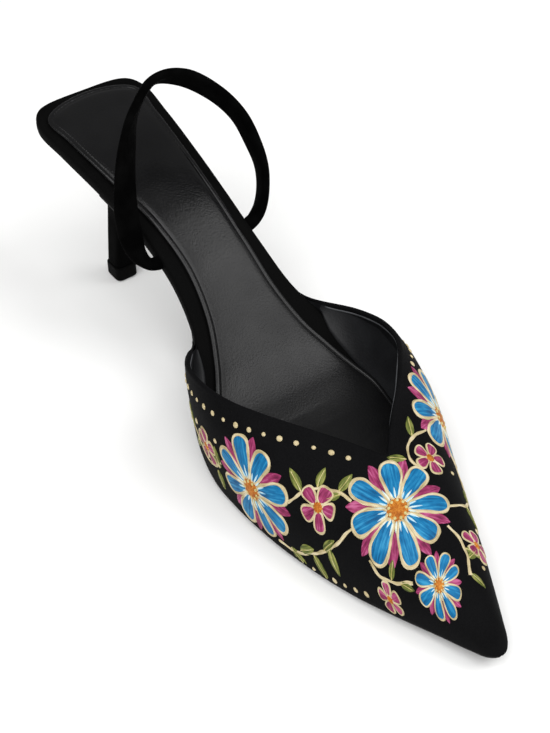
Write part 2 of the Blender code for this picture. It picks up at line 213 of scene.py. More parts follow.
def upperPoint(side, station, angle):
    # a section of the last is a superellipse from the feather edge (angle 0) to the ridge (angle 90), with a
    # sideways bulge and the wing's splay; near the toe the section leans back as it rises
    side, station, angle = np.broadcast_arrays(side, np.asarray(station, float), np.asarray(angle, float))
    f = lastForm
    outwards = np.where(side, 1, -1)
    way, first, run = f["wingTuck"]
    across = edgeAt(wallEdges, side, station) - outwards * way * smoothStep((station - first) / run)
    low = profileAt(1, station) + f["gap"]
    turn = np.radians(angle)
    inward = 1 - np.cos(turn).clip(0) ** (2 / f["roundness"])
    upward = np.sin(turn).clip(0) ** (2 / f["roundness"])
    reached = station + f["ridgeStart"] * np.maximum(0, 1 - station / f["throat"]) ** 2 * inward
    ridgeAcross, ridgeHigh = (tableAt(f["ridge"], k, reached) for k in (1, 2))
    bulge = f["sideBulge"] * np.sin(2 * turn) * np.clip((station - upperTip) / f["bulgeRun"], 0, 1)
    bulge = bulge + bySide(f["splay"], side, station) * np.sin(turn).clip(0) ** f["splayPower"]
    across = across + (ridgeAcross - across) * inward + bulge * outwards
    return np.stack([across, reached, low + (ridgeHigh - low) * upward], -1)


def upperNormal(side, station, angle):
    # the cross product of a small step back and a small step up the section
    station, angle = np.asarray(station, float), np.asarray(angle, float)
    stepBack, stepUp = 0.2, 0.5  # mm, degrees
    back = upperPoint(side, station + stepBack, angle) - upperPoint(side, station - stepBack, angle)
    lower, higher = np.maximum(angle - stepUp, 0), np.minimum(angle + stepUp, 90)
    rise = upperPoint(side, station, higher) - upperPoint(side, station, lower)
    return unit(np.cross(back, rise) * np.where(side, 1, -1)[..., None])


def toplineAngle(side, station):
    # the angle at which the section ends: 90 up to the throat, then falling along the wing
    return bySide(lastForm["topline"], side, station)


def gridFaces(rows, cols, pieces=1, wrap=False):
    # quads between neighbouring rows and columns of one or more equal grids
    r, c = np.meshgrid(np.arange(rows - 1), np.arange(cols if wrap else cols - 1), indexing="ij")
    after = (c + 1) % cols
    quad = np.stack([r * cols + c, r * cols + after, (r + 1) * cols + after, (r + 1) * cols + c], -1)
    return (quad.reshape(1, -1, 4) + (np.arange(pieces) * rows * cols)[:, None, None]).reshape(-1, 4)


def addPiece(name, points, faces, finish, slotName, outward=None, uv=None, stands=(), sharp=None):
    # a mesh from points in the last's mm; outward turns the faces of an open sheet, a closed one turns itself
    points = np.asarray(points, float).reshape(-1, 3)
    if outward is not None:
        corner = points[faces]
        facing = np.cross(corner[:, 2] - corner[:, 0], corner[:, 3] - corner[:, 1])
        wrong = np.einsum("ij,ij->i", facing, np.asarray(outward).reshape(-1, 3)[faces].mean(1)) < 0
        faces = np.where(wrong[:, None], faces[:, ::-1], faces)
    mesh = bpy.data.meshes.new(name)
    mesh.from_pydata(((points + lastForm["origin"]) * mm).tolist(), [], faces.tolist())
    if uv is not None:
        corners = np.zeros(len(mesh.loops), np.int32)
        mesh.loops.foreach_get("vertex_index", corners)
        layer = mesh.uv_layers.new(name="lay")
        layer.data.foreach_set("uv", np.asarray(uv, np.float32).reshape(-1, 2)[corners].ravel())
    work = bmesh.new()
    work.from_mesh(mesh)
    bmesh.ops.remove_doubles(work, verts=work.verts, dist=1e-6)
    loose = [v for v in work.verts if not v.link_faces]
    bmesh.ops.delete(work, geom=loose, context="VERTS")
    if outward is None:
        bmesh.ops.recalc_face_normals(work, faces=work.faces)
    work.to_mesh(mesh)
    work.free()
    mesh.shade_smooth()
    if sharp:
        mesh.set_sharp_from_angle(angle=math.radians(sharp))
    mesh.materials.append(finish)
    piece = bpy.data.objects.new(name, mesh)
    scene.collection.objects.link(piece)
    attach(piece, "root")
    if stands:
        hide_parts(*stands)
    return piece


def addTube(name, rings, finish, slotName, capped=True, **more):
    # closed rings joined to a tube; capped ends run to a point in the middle of the first and the last ring
    if capped:
        first, last = (np.repeat(rings[k].mean(0)[None, None], rings.shape[1], 1) for k in (0, -1))
        rings = np.concatenate([first, rings, last])
    return addPiece(name, rings, gridFaces(*rings.shape[:2], wrap=True), finish, slotName, **more)


def linear(hexColour):
    # each sRGB channel to linear: a straight foot, then a power of 2.4
    srgb = np.array([int(hexColour[i:i + 2], 16) for i in (1, 3, 5)]) / 255
    return (*np.where(srgb <= 0.04045, srgb / 12.92, ((srgb + 0.055) / 1.055) ** 2.4), 1.0)


def addNode(tree, kind, inputs=None, stops=(), give=0, **settings):
    # a node with its settings, colour stops (place, hex colour) and inputs, which are values or sockets to
    # link; one of its outputs comes back
    node = tree.nodes.new(kind)
    for key, value in settings.items():
        setattr(node, key, value)
    for k, (place, colour) in enumerate(stops):
        elements = node.color_ramp.elements
        element = elements[k] if k < len(elements) else elements.new(place)
        element.position, element.color = place, linear(colour)
    for socket, value in (inputs or {}).items():
        if isinstance(value, bpy.types.NodeSocket):
            tree.links.new(value, node.inputs[socket])
        else:
            node.inputs[socket].default_value = value
    return node.outputs[give]


def newFinish(name, shaderValues, *clouds):
    # a material with constants on its shader and cloudy fields in object coordinates, each given by the size
    # of its spots in mm, its detail and its unevenness
    made = bpy.data.materials.new(name)
    made.use_nodes = True
    tree = made.node_tree
    shader = tree.nodes["Principled BSDF"]
    for key, value in shaderValues.items():
        shader.inputs[key].default_value = value
    where = addNode(tree, "ShaderNodeTexCoord", give="Object")
    fields = [addNode(tree, "ShaderNodeTexNoise", {
        "Vector": where, "Scale": 1 / (size * mm), "Detail": detail, "Roughness": uneven})
        for size, detail, uneven in clouds]
    return made, tree, shader, where, *fields


def blended(tree, first, share, second, rest):
    # share times the first field plus rest times the second
    part = addNode(tree, "ShaderNodeMath", {0: second, 1: rest}, operation="MULTIPLY")
    return addNode(tree, "ShaderNodeMath", {0: first, 1: share, 2: part}, operation="MULTIPLY_ADD")


def dressShader(tree, shader, tone, stops, gloss, span, rough, relief, strength, depth=0.2):
    # colour from a ramp over the tone field, roughness in a straight line over a span of the gloss field, and
    # bumps from the relief field, whose depth is in mm
    ends = {
        "Base Color": addNode(tree, "ShaderNodeValToRGB", {"Fac": tone}, stops),
        "Roughness": addNode(tree, "ShaderNodeMapRange", {
            "Value": gloss, "From Min": span[0], "From Max": span[1],
            "To Min": rough[0], "To Max": rough[1]}),
        "Normal": addNode(tree, "ShaderNodeBump", {
            "Height": relief, "Strength": strength, "Distance": depth * mm})}
    for socket, field in ends.items():
        tree.links.new(field, shader.inputs[socket])
    return ends["Roughness"]


def suedeFinish(name, settings):
    # microfibre suede: sheared nap, so no gloss, a faint sheen at turning edges and cloudy brushed patches;
    # the nap is drawn at about twice its real size, so that it shows
    made, tree, shader, _, nap, brushed = newFinish(name, {
        "IOR": 1.45, "Specular IOR Level": settings["specular"], "Sheen Weight": settings["sheen"],
        "Sheen Roughness": 0.45, "Sheen Tint": linear("#8f8f96")},
        (settings["napMm"], 3, 0.65), (settings["brushedMm"], 3, 0.55))
    dressShader(tree, shader, blended(tree, brushed, 0.55, nap, 0.45),
                ((0.36, settings["deep"]), (0.64, settings["worn"])),
                brushed, (0.3, 0.7), settings["rough"], nap, settings["bump"])
    return made


def leatherFinish(name, settings):
    # smooth calf leather: fine pebbled grain with open pores, cloudy dye, a low wax gloss
    made, tree, shader, where, pores, dye = newFinish(
        name, {"IOR": 1.5, "Specular IOR Level": settings["specular"]},
        (settings["poreMm"], 4, 0.7), (settings["dyeMm"], 2, 0.5))
    grain = addNode(tree, "ShaderNodeTexVoronoi", {
        "Vector": where, "Scale": 1 / (settings["grainMm"] * mm), "Randomness": 1.0}, feature="SMOOTH_F1")
    height = addNode(tree, "ShaderNodeMath", {0: pores, 1: 0.7, 2: grain}, operation="MULTIPLY_ADD")
    shade = blended(tree, dye, 0.65, pores, 0.35)
    rough = dressShader(tree, shader, shade, ((0.34, settings["deep"]), (0.66, settings["worn"])),
                        shade, (0.35, 0.65), settings["rough"], height, settings["bump"], 0.25)
    if "polished" in settings:  # rubbed smoother towards the heel
        start, end, share = settings["polished"]
        along = addNode(tree, "ShaderNodeSeparateXYZ", {"Vector": where}, give="Y")
        rubbed = addNode(tree, "ShaderNodeMapRange", {
            "Value": along, "From Min": start * mm, "From Max": end * mm, "To Min": 1.0, "To Max": share},
            interpolation_type="SMOOTHSTEP")
        rough = addNode(tree, "ShaderNodeMath", {0: rough, 1: rubbed}, operation="MULTIPLY")
        tree.links.new(rough, shader.inputs["Roughness"])
    return made


def rubberFinish(name, settings):
    # moulded rubber: sand-textured, dull, with a few pale scuffs
    made, tree, shader, where, sand = newFinish(
        name, {"IOR": 1.52, "Specular IOR Level": settings["specular"]}, (settings["sandMm"], 2, 0.6))
    # scuffs are drawn out along the shoe
    drawn = addNode(tree, "ShaderNodeMapping", {"Vector": where, "Scale": (1.0, 0.22, 1.0)})
    scuffs = addNode(tree, "ShaderNodeTexNoise", {
        "Vector": drawn, "Scale": 1 / (settings["scuffMm"] * mm), "Detail": 5.0, "Roughness": 0.62})
    dressShader(tree, shader, scuffs, ((0.45, settings["deep"]), (0.75, settings["worn"])),
                scuffs, (0.35, 0.7), settings["rough"], sand, 0.35)
    return made


def elasticFinish(name, settings):
    # suede-faced elastic: short velvety pile, drawn coarse enough to show, over a fine rib along the band
    made, tree, shader, _, pile, cloudy = newFinish(name, {
        "IOR": 1.45, "Specular IOR Level": 0.02, "Sheen Weight": 0.005, "Sheen Roughness": 0.4,
        "Sheen Tint": linear("#85858c")}, (settings["pileMm"], 3, 0.7), (settings["cloudMm"], 2, 0.5))
    lay = addNode(tree, "ShaderNodeUVMap", uv_map="lay")
    rib = addNode(tree, "ShaderNodeTexWave", {
        "Vector": lay, "Scale": 1 / settings["ribMm"] / 2, "Distortion": 0.6, "Detail": 1.0},
        give="Fac", bands_direction="X")
    height = addNode(tree, "ShaderNodeMath", {0: rib, 1: 0.25, 2: pile}, operation="MULTIPLY_ADD")
    dressShader(tree, shader, cloudy, ((0.35, settings["deep"]), (0.68, settings["worn"])),
                pile, (0.3, 0.7), settings["rough"], height, 0.4)
    return made


def paintFinish(name, tones, streakMm):
    # acrylic laid on with a flat brush: streaks of three mixed tones along each stroke, patches of 4 mm and
    # a soft gloss on the ridges
    made, tree, shader, _, patchy = newFinish(name, {"IOR": 1.48, "Specular IOR Level": 0.18}, (4, 2, 0.5))
    lay = addNode(tree, "ShaderNodeUVMap", uv_map="lay")
    stroke = addNode(tree, "ShaderNodeMapping", {
        "Vector": lay, "Scale": (1 / streakMm[0], 1 / streakMm[1], 1.0)})
    streak = addNode(tree, "ShaderNodeTexNoise", {
        "Vector": stroke, "Scale": 1.0, "Detail": 3.0, "Roughness": 0.6})
    dressShader(tree, shader, blended(tree, streak, 0.7, patchy, 0.3), tuple(zip((0.37, 0.5, 0.63), tones)),
                streak, (0.3, 0.7), (0.62, 0.42), streak, 0.5)
    return made


suede = suedeFinish("blackMicrofibreSuede", {
    "deep": "#060607", "worn": "#0f0f10", "napMm": 0.5, "brushedMm": 13.0,
    "specular": 0.06, "sheen": 0.015, "rough": (0.72, 0.9), "bump": 0.35})
rimSuede = suedeFinish("blackWrapSuede", {
    "deep": "#030303", "worn": "#090909", "napMm": 0.5, "brushedMm": 9.0,
    "specular": 0.04, "sheen": 0.008, "rough": (0.6, 0.8), "bump": 0.3})
heelSuede = suedeFinish("blackHeelSuede", {
    "deep": "#020202", "worn": "#060606", "napMm": 0.45, "brushedMm": 7.0,
    "specular": 0.02, "sheen": 0.004, "rough": (0.65, 0.85), "bump": 0.3})
sockLeather = leatherFinish("charcoalSockLeather", {
    "deep": "#060607", "worn": "#0d0d0e", "grainMm": 0.6, "poreMm": 0.28, "dyeMm": 16.0,
    "specular": 0.3, "rough": (0.29, 0.42), "bump": 0.2,
    "polished": (28.0, 72.0, 0.55)})  # from and to, mm along the shoe, and the share of the roughness left
liningLeather = leatherFinish("charcoalLiningLeather", {
    "deep": "#111113", "worn": "#1c1d1f", "grainMm": 0.7, "poreMm": 0.4, "dyeMm": 11.0,
    "specular": 0.25, "rough": (0.45, 0.6), "bump": 0.2})
edgeLeather = leatherFinish("greyCutLeatherEdge", {
    "deep": "#3c3d40", "worn": "#58595c", "grainMm": 0.7, "poreMm": 0.3, "dyeMm": 5.0,
    "specular": 0.4, "rough": (0.5, 0.65), "bump": 0.3})
soleRubber = rubberFinish("blackResinSole", {
    "deep": "#0c0c0c", "worn": "#171716", "sandMm": 0.6, "scuffMm": 5.0,
    "specular": 0.2, "rough": (0.55, 0.75)})
tipRubber = rubberFinish("blackTopPieceRubber", {
    "deep": "#020202", "worn": "#070605", "sandMm": 0.5, "scuffMm": 2.5,
    "specular": 0.05, "rough": (0.6, 0.8)})
elastic = elasticFinish("blackSuedeElastic", {
    "deep": "#020202", "worn": "#060606", "ribMm": 0.55, "pileMm": 0.45, "cloudMm": 6.0,
    "rough": (0.78, 0.95)})
print("suede, leather, rubber and elastic mixed")

upperSheet = {
    "vampColumns": 84,
    "toeCrowding": 1.6,  # power that draws the columns together at the toe
    "wingColumns": 96,
    "rows": 46,
    "margin": ((2.4, 0.29), (1.3, 0.28), (0.6, 0.2), (0.2, 0.07)),  # lasted edge: way in under the wall, drop
    "marginRoom": 0.45,  # most of the width that the lasted edge takes at the toe
    "liningFrom": 14.0,  # station
    "liningDepth": 1.45,
}


def makeUpper(settings):
    # columns run from the toe tip to a wing's end; rows come out from under the wall at the feather edge and
    # climb each section to the topline
    f = lastForm
    crowded = np.linspace(0, 1, settings["vampColumns"] + 1) ** settings["toeCrowding"]
    vamp = upperTip + (f["throat"] - upperTip) * crowded
    wing = f["throat"] + (f["wingEnd"] - f["throat"]) * np.linspace(0, 1, settings["wingColumns"] + 1)[1:]
    station = np.concatenate([vamp, wing])[None, :, None]
    side = np.array([0, 1])[:, None, None]
    angle = toplineAngle(side, station) * np.linspace(0, 1, settings["rows"])
    side, station, angle = np.broadcast_arrays(side, station, angle)
    point, normal = upperPoint(side, station, angle), upperNormal(side, station, angle)
    wayIn, drop = np.array(settings["margin"]).T
    room = settings["marginRoom"] * (point[1, :, :1, 0] - point[0, :, :1, 0])
    under = np.repeat(point[:, :, :1], len(drop), axis=2)
    under[..., 0] += np.minimum(wayIn, room) * np.array([1, -1])[:, None, None]
    under[..., 2] -= drop
    facing = np.concatenate([np.broadcast_to((0.0, 0.0, -1.0), under.shape), normal], 2)
    sheet = np.concatenate([under, point], 2)
    faces = gridFaces(sheet.shape[1], sheet.shape[2], 2)
    addPiece("upperSuede", sheet, faces, suede, "suede", outward=facing, stands=("upper",))
    kept = station[0, :, 0] >= settings["liningFrom"]
    lined = (point - normal * settings["liningDepth"])[:, kept]
    faces = gridFaces(lined.shape[1], settings["rows"], 2)
    addPiece("upperLining", lined, faces, liningLeather, "sock", outward=-normal[:, kept])


makeUpper(upperSheet)

toplineFold = {
    "count": 420,
    "closePoints": 1200,  # on each wing, before they are spaced evenly
    "endsShort": 0.3,  # of the wing's end
    "section": (  # rise past the topline and way out from the wall: outside, over the edge, down inside
        (-1.6, -0.12), (-1.1, 0.02), (-0.4, 0.06), (0.1, 0), (0.38, -0.25), (0.5, -0.6), (0.5, -0.95),
        (0.36, -1.3), (0.05, -1.58), (-0.3, -1.7), (-0.6, -1.74), (-0.85, -1.7), (-0.95, -1.55),
        (-0.98, -1.35)),
    "edgeRadius": 0.32,  # of the lining's cut edge, which shows as a paler line under the fold
    "edgeAt": (-1.05, -1.7),
    "edgeRaised": (0, -2),  # where it comes up to the rim, on the lateral side of the throat
    "raisedFrom": (84, 106),  # stations
    "softened": 4,  # passes of a three-point mean round the point of the V
    "runOut": (0.25, 14),  # share of its thickness left at the wing's end, stations over which it thins
    "core": 0.86,  # how far inside the wall's face the fold's middle lies
    "edgeFades": (0.1, 66, 8),  # share of the cut edge in the point of the V, first station, run
    "edgeSides": 10,
    "edgeBare": 16,  # points without a cut edge at each wing's end
}


def makeToplineFold(settings):
    # a half-round section carried along the topline, down one wing to the throat and up the other
    f = lastForm
    wing = np.linspace(f["wingEnd"] - settings["endsShort"], f["throat"], settings["closePoints"])
    station = np.concatenate([wing, wing[::-1][1:]])
    side = (np.arange(len(station)) >= len(wing)).astype(int)
    angle = toplineAngle(side, station)
    point, normal = upperPoint(side, station, angle), upperNormal(side, station, angle)
    line = evenLine(np.column_stack([point, normal, station, side]), settings["count"])
    for _ in range(settings["softened"]):
        line[1:-1] = (line[:-2] + line[1:-1] + line[2:]) / 3
    middle, normal, station, lateral = line[:, :3], line[:, 3:6], line[:, 6], line[:, 7]
    along = unit(np.gradient(middle, axis=0))
    normal = unit(normal - along * np.einsum("ij,ij->i", normal, along)[:, None])
    rise, normal = np.cross(normal, along)[:, None], normal[:, None]
    least, run = settings["runOut"]
    thin = (least + (1 - least) * smoothStep((f["wingEnd"] - station) / run))[:, None, None]
    section = np.array(settings["section"])
    up, out = section[None, :, :1] * thin, section[None, :, 1:] * thin
    point = middle[:, None] + up * rise + out * normal
    outward = up * rise + (out + settings["core"] * thin) * normal
    addPiece("toplineFold", point, gridFaces(len(middle), len(section)), suede, "suede", outward=outward)
    first, last = settings["raisedFrom"]
    raised = (lateral * (1 - smoothStep((station - first) / (last - first))))[:, None, None]
    centre = np.array(settings["edgeAt"]) * (1 - raised) + np.array(settings["edgeRaised"]) * raised
    turn = np.linspace(0, 2 * np.pi, settings["edgeSides"], endpoint=False)
    least, first, run = settings["edgeFades"]
    faded = least + (1 - least) * smoothStep((station - first) / run)
    radius = settings["edgeRadius"] * faded[:, None, None]
    ring = (centre + radius * np.stack([np.cos(turn), np.sin(turn)], 1)) * thin
    point = middle[:, None] + ring[..., :1] * rise + ring[..., 1:] * normal
    bare = settings["edgeBare"]
    addTube("liningEdge", point[bare:-bare], edgeLeather, "sock", capped=False)


makeToplineFold(toplineFold)

liningFoot = {
    "stations": 150,
    "span": ((44, 44), (147, 142.6)),  # first and last station, medial and lateral
    "columns": 12,
    "height": (5, 17),  # on the medial and the lateral wall, over the footbed
    "most": (0.55, 0.8),  # share of the wall's clear height
    "hollow": ((0.2, 0.92), (0.42, 0.62)),  # how far in and how far down the parabola's corner lies
    "reach": (  # station, way in from the insole's edge on the medial and on the lateral side
        (44, 9.6, 8.8), (50, 8.4, 7.5), (64, 7.3, 5.9), (80, 5.8, 6.2), (98, 4.8, 6.4), (112, 4.8, 5.6),
        (121, 4, 6.2), (130, 3.2, 5.8), (135, 3, 4.5), (139, 2.7, 2.2), (143, 1.9, 0.1), (147, 0.5, 0)),
    "lift": 0.25,
    "leastClear": 0.4,  # height of the wall over the footbed, where it runs out
    "offWall": 0.1,  # clear of the lining on the wall
    "tuck": (0.12, 0, -0.6),  # its inner edge goes on inwards, along and up by these
}


def makeLiningFoot(settings):
    # where the lining comes off the wall it curves in over the footbed: a parabola from the wall to the
    # reach, for every station on both sides
    f = lastForm
    side, inwards = np.array([[0], [1]]), np.array([[1.0], [-1.0]])
    station = np.linspace(*settings["span"], settings["stations"], axis=1)
    low, thick = profileAt(1, station) + f["gap"], profileAt(2, station)
    full = upperPoint(side, station, 90.0)[..., 2] - low
    clear = upperPoint(side, station, toplineAngle(side, station))[..., 2] - low - thick
    height, most = (np.array(settings[key])[:, None] for key in ("height", "most"))
    climb = thick + np.minimum(height, most * np.maximum(clear, settings["leastClear"]))
    angle = np.degrees(np.arcsin(np.clip(climb / full, 0, 1) ** (f["roundness"] / 2)))
    depth = upperSheet["liningDepth"] + settings["offWall"]
    wall = upperPoint(side, station, angle) - upperNormal(side, station, angle) * depth
    inner = edgeAt(edgesOf(insoleLine), side, station) + inwards * bySide(settings["reach"], side, station)
    foot = np.stack([inner, wall[..., 1], low + thick + settings["lift"]], -1)
    hollow = np.insert(np.array(settings["hollow"]), 1, 0, axis=1)[:, None]
    bend = wall + hollow * (foot - wall)
    t = np.linspace(0, 1, settings["columns"])[:, None]
    wall, bend, edge = (line[..., None, :] for line in (wall, bend, foot))
    sheet = (1 - t) ** 2 * wall + 2 * t * (1 - t) * bend + t ** 2 * edge
    facing = np.stack(np.broadcast_arrays(inwards, 0.0, np.ones_like(low)), -1)
    tucked = foot + facing * settings["tuck"]
    sheet = np.concatenate([sheet, tucked[..., None, :]], 2)
    outward = np.repeat(facing[..., None, :], sheet.shape[2], axis=2)
    faces = gridFaces(settings["stations"], sheet.shape[2], 2)
    addPiece("liningFoot", sheet, faces, liningLeather, "sock", outward=outward)


makeLiningFoot(liningFoot)
print("upper, lining and folded topline made")

footbed = {
    "front": 5,  # station
    "toeEase": 0.8,  # drawn in at the toe
    "points": 240,  # down each side
    "rings": 8,  # from the section's end to the middle line
    "section": (  # way in from the edge, share of the thickness, rise in mm
        (0.9, 0, 0), (0.35, 0, 0), (0.08, 0, 0.25), (0, 0, 0.7), (-0.04, 0.4, 0), (0.02, 0.62, 0),
        (0.18, 0.76, 0), (0.5, 0.88, 0), (1, 0.955, 0), (1.7, 0.99, 0), (2.6, 1, 0.02), (3.6, 1, 0)),
}
sock = {
    "rows": (  # station, medial edge, lateral edge
        (42, -14, 4), (50, -18.5, 10), (64, -23, 18.5), (80, -27.2, 26), (98, -29, 31.9), (112, -28, 33.8),
        (121, -25, 31.2), (130, -20.4, 27.4), (140, -14.2, 23.4), (153, -8.3, 20.8), (168, -5.7, 20),
        (185, -7.4, 19.6), (205, -12, 19.5), (225, -15.6, 19.7), (238, -16.6, 19.2)),
    "front": (-4, 39.5),
    "back": (1.7, 243.5),
    "points": 240,
    "rings": 16,
    "section": (  # way in from the edge, height over the footbed where it is plain, and where it is sewn
        (0.5, -0.5, -0.5), (0.3, 0.02, 0.02), (0.06, 0.3, 0.3), (0, 0.6, 0.6), (0.1, 0.88, 0.9),
        (0.35, 1.06, 1.12), (0.75, 1.15, 1.25), (1.1, 1.18, 1.27), (1.42, 1.2, 1.2), (1.6, 1.21, 1),
        (1.7, 1.21, 0.55), (1.84, 1.22, 0.55), (1.94, 1.22, 1), (2.15, 1.23, 1.19), (2.7, 1.24, 1.24)),
    "sewn": (  # station, share of the sewn section
        (40, 0.3), (78, 0.4), (100, 1), (125, 1), (195, 1), (215, 0.4), (244, 0.2)),
    "crown": (0.6, 0.6),  # height of the pad's middle, power with which it rises from the edge
    "creases": (  # station, across, length, depth of shallow flex creases over the ball
        (92, 6, 26, 0.16), (99, -4, 22, 0.13), (106, 12, 24, 0.15), (113, 4, 18, 0.1)),
    "creaseWidth": 1.1,
    "creaseBow": 0.01,  # one over the radius of a crease's bow, per mm
    "creaseGrows": 4,  # times as fast as the way in from the edge
    "sunk": 0.4,  # its underside, below the footbed's top
}


def pairedLoop(edges, front, count, short=(9, 12)):
    # down the medial edge and back up the lateral one in even steps, with the middle of each pair of points;
    # the middle line stops short of the front and the back by these
    halves = []
    for stations, across in edges:
        line = np.stack([across, stations], 1)[stations > front]
        halves.append(evenLine(np.concatenate([[(np.interp(front, stations, across), front)], line]), count))
    shared = np.allclose(halves[0][0], halves[1][0])  # the two edges meet in front
    up = slice(1, -1 if shared else None)
    middle = 0.5 * (halves[0] + halves[1])
    middle[:, 1] = np.clip(middle[:, 1], middle[:, 1].min() + short[0], middle[:, 1].max() - short[1])
    return np.concatenate([halves[0], halves[1][::-1][up]]), np.concatenate([middle, middle[::-1][up]])


def ringsInward(edges, front, settings, crowding=1.4):
    # rings of the outline moved in by the section's insets, then drawn on to its middle line: their plan, the
    # section's two other columns, and each ring's share of the way from the section's end to the middle line
    loop, middle = pairedLoop(edges, front, settings["points"])
    section, count = np.array(settings["section"]), settings["rings"]
    share = (np.arange(1, count + 1) / count) ** crowding
    rings = np.stack([grown(loop, -inset) for inset in section[:, 0]])
    plan = np.concatenate([rings, rings[-1] + (middle - rings[-1]) * share[:, None, None]])
    section = np.concatenate([section, np.repeat(section[-1:], count, 0)])
    share = np.concatenate([np.zeros(len(rings)), share])
    return plan, section[:, 1:2], section[:, 2:], share[:, None]


def addPad(name, plan, height, base, finish, slotName, node):
    # rings of plan and height, whose underside closes to the middle line as well, at the base's height
    rings = np.concatenate([np.dstack([plan[-1:], base]), np.dstack([plan, height])])
    return addTube(name, rings, finish, slotName, capped=False, stands=(node,))


def makeFootbed(settings):
    # the rounded section carried round the insole's edge, closed over the top to the middle line
    f = lastForm
    eased = -settings["toeEase"] * np.maximum(0, 1 - insoleLine[:, 1] / f["throat"])
    plan, share, rise, _ = ringsInward(edgesOf(grown(insoleLine, eased)), settings["front"], settings)
    low = profileAt(1, plan[..., 1]) + f["gap"]
    height = low + profileAt(2, plan[..., 1]) * share + rise
    addPad("footbedWrap", plan, height, low[-1:], rimSuede, "suede", "footbed")


def makeSock(settings):
    # the sewn edge's section carried round the outline, with a low crown and soft creases on the pad
    edges = edgesOf(outlineOf(settings["rows"], settings["front"], settings["back"]))
    plan, plain, sewn, share = ringsInward(edges, edges[0][0][0], settings)
    across, station = plan[..., 0], plan[..., 1]
    bed = profileAt(1, station) + profileAt(2, station) + 2 * lastForm["gap"]
    lift = plain + (sewn - plain) * tableAt(settings["sewn"], 1, station)
    crown, power = settings["crown"]
    pad = crown * np.sin(0.5 * np.pi * share ** power)
    for s0, x0, length, depth in settings["creases"]:
        off = (station - s0 - settings["creaseBow"] * (across - x0) ** 2 / 2) / settings["creaseWidth"]
        dent = np.exp(-off ** 2 - ((across - x0) / (0.5 * length)) ** 4)
        pad = pad - depth * dent * smoothStep(share * settings["creaseGrows"])
    base = bed[-1:] - settings["sunk"]
    made = addPad("sockLining", plan, bed + lift + pad, base, sockLeather, "sock", "sock_lining")


makeFootbed(footbed)
makeSock(sock)
print("footbed and sock made")

outsole = {
    "stations": 120,
    "end": 207.9,
    "front": 0.05,  # behind the edge's first station
    "edge": (0.5, 0.4),  # radius, and the most of the width where the tip is narrow
    "edgeSteps": 5,
    "inset": 1.1,  # from the upper's face
    "waist": (1.8, 146, 16),  # further in behind the wings, first station, run
}
heel = {
    "rows": (  # share of the height, spread from the post to the seat, lean forward, lean to the lateral side
        (0, 0, 0, 0), (0.2, 0, 1, 0.3), (0.4, 0, 2.2, 0.6), (0.58, 0.01, 3.2, 0.9),
        (0.68, 0.045, 3.5, 1), (0.77, 0.15, 3.3, 1), (0.85, 0.38, 2.4, 0.7), (0.91, 0.72, 1.1, 0.3),
        (0.95, 0.93, 0.3, 0.1), (1, 1, 0, 0)),
    "postCentre": (-0.7, 223.8),
    "postHalf": 4,
    "postSquare": 5,  # exponent of the rounded square
    "seatCentre": (1.9, 227),
    "seatFront": 207,
    "seatInset": 1.2,
    "sides": 96,
    "levels": 56,
    "tipHeight": 6,  # of the top piece under the post
    "breastPoints": 40,
    "tipRows": (  # height, way out from the post
        (0, -0.35), (0.12, 0), (0.35, 0.25), (0.7, 0.42), (1.3, 0.45), (2.6, 0.45), (4, 0.45), (5.2, 0.45),
        (5.6, 0.42), (5.85, 0.3), (6, 0.05)),
}


def endsCloser(low, high, count, even=0.12):
    # steps from low to high, a little even and mostly half a cosine wave, so they are close at both ends
    share = np.linspace(0, 1, count)
    return low + (high - low) * (even * share + (1 - even) * (0.5 - 0.5 * np.cos(np.pi * share)))


def makeOutsole(settings):
    # a thin plate with rounded edges: loops across the sole at close stations, closed at both ends
    f = lastForm
    way, first, run = settings["waist"]
    waisted = way * smoothStep((insoleLine[:, 1] - first) / run)
    edges = edgesOf(grown(insoleLine, f["wall"] + f["gap"] - settings["inset"] - waisted))
    stations = endsCloser(edges[0][0][0] + settings["front"], settings["end"], settings["stations"])
    medial, lateral = (np.interp(stations, *edge)[:, None] for edge in edges)
    turn = np.radians(np.linspace(0, 90, settings["edgeSteps"]))
    x, z = 1 - np.cos(turn), 1 - np.sin(turn)
    x = np.concatenate([x, -x[::-1], -x, x[::-1]])
    z = np.concatenate([-z, -z[::-1], z, z[::-1]])
    right, top = (np.repeat(corners, settings["edgeSteps"]) for corners in ((0, 1, 1, 0), (1, 1, 0, 0)))
    most, share = settings["edge"]
    radius = np.minimum(most, share * (lateral - medial))
    high = profileAt(1, stations)[:, None]
    low = high - profileAt(3, stations)[:, None]
    across = medial + (lateral - medial) * right + radius * x
    height = low + (high - low) * top + radius * z
    ring = np.stack(np.broadcast_arrays(across, stations[:, None], height), -1)
    addTube("outsole", ring, soleRubber, "sole", stands=("outsole",), sharp=60)


def postLoop(settings, grow):
    # a square with round corners, as a superellipse
    turn = np.linspace(0, 2 * np.pi, settings["sides"], endpoint=False)
    circle = np.stack([np.cos(turn), np.sin(turn)], 1)
    return (settings["postHalf"] + grow) * np.sign(circle) * abs(circle) ** (2 / settings["postSquare"])


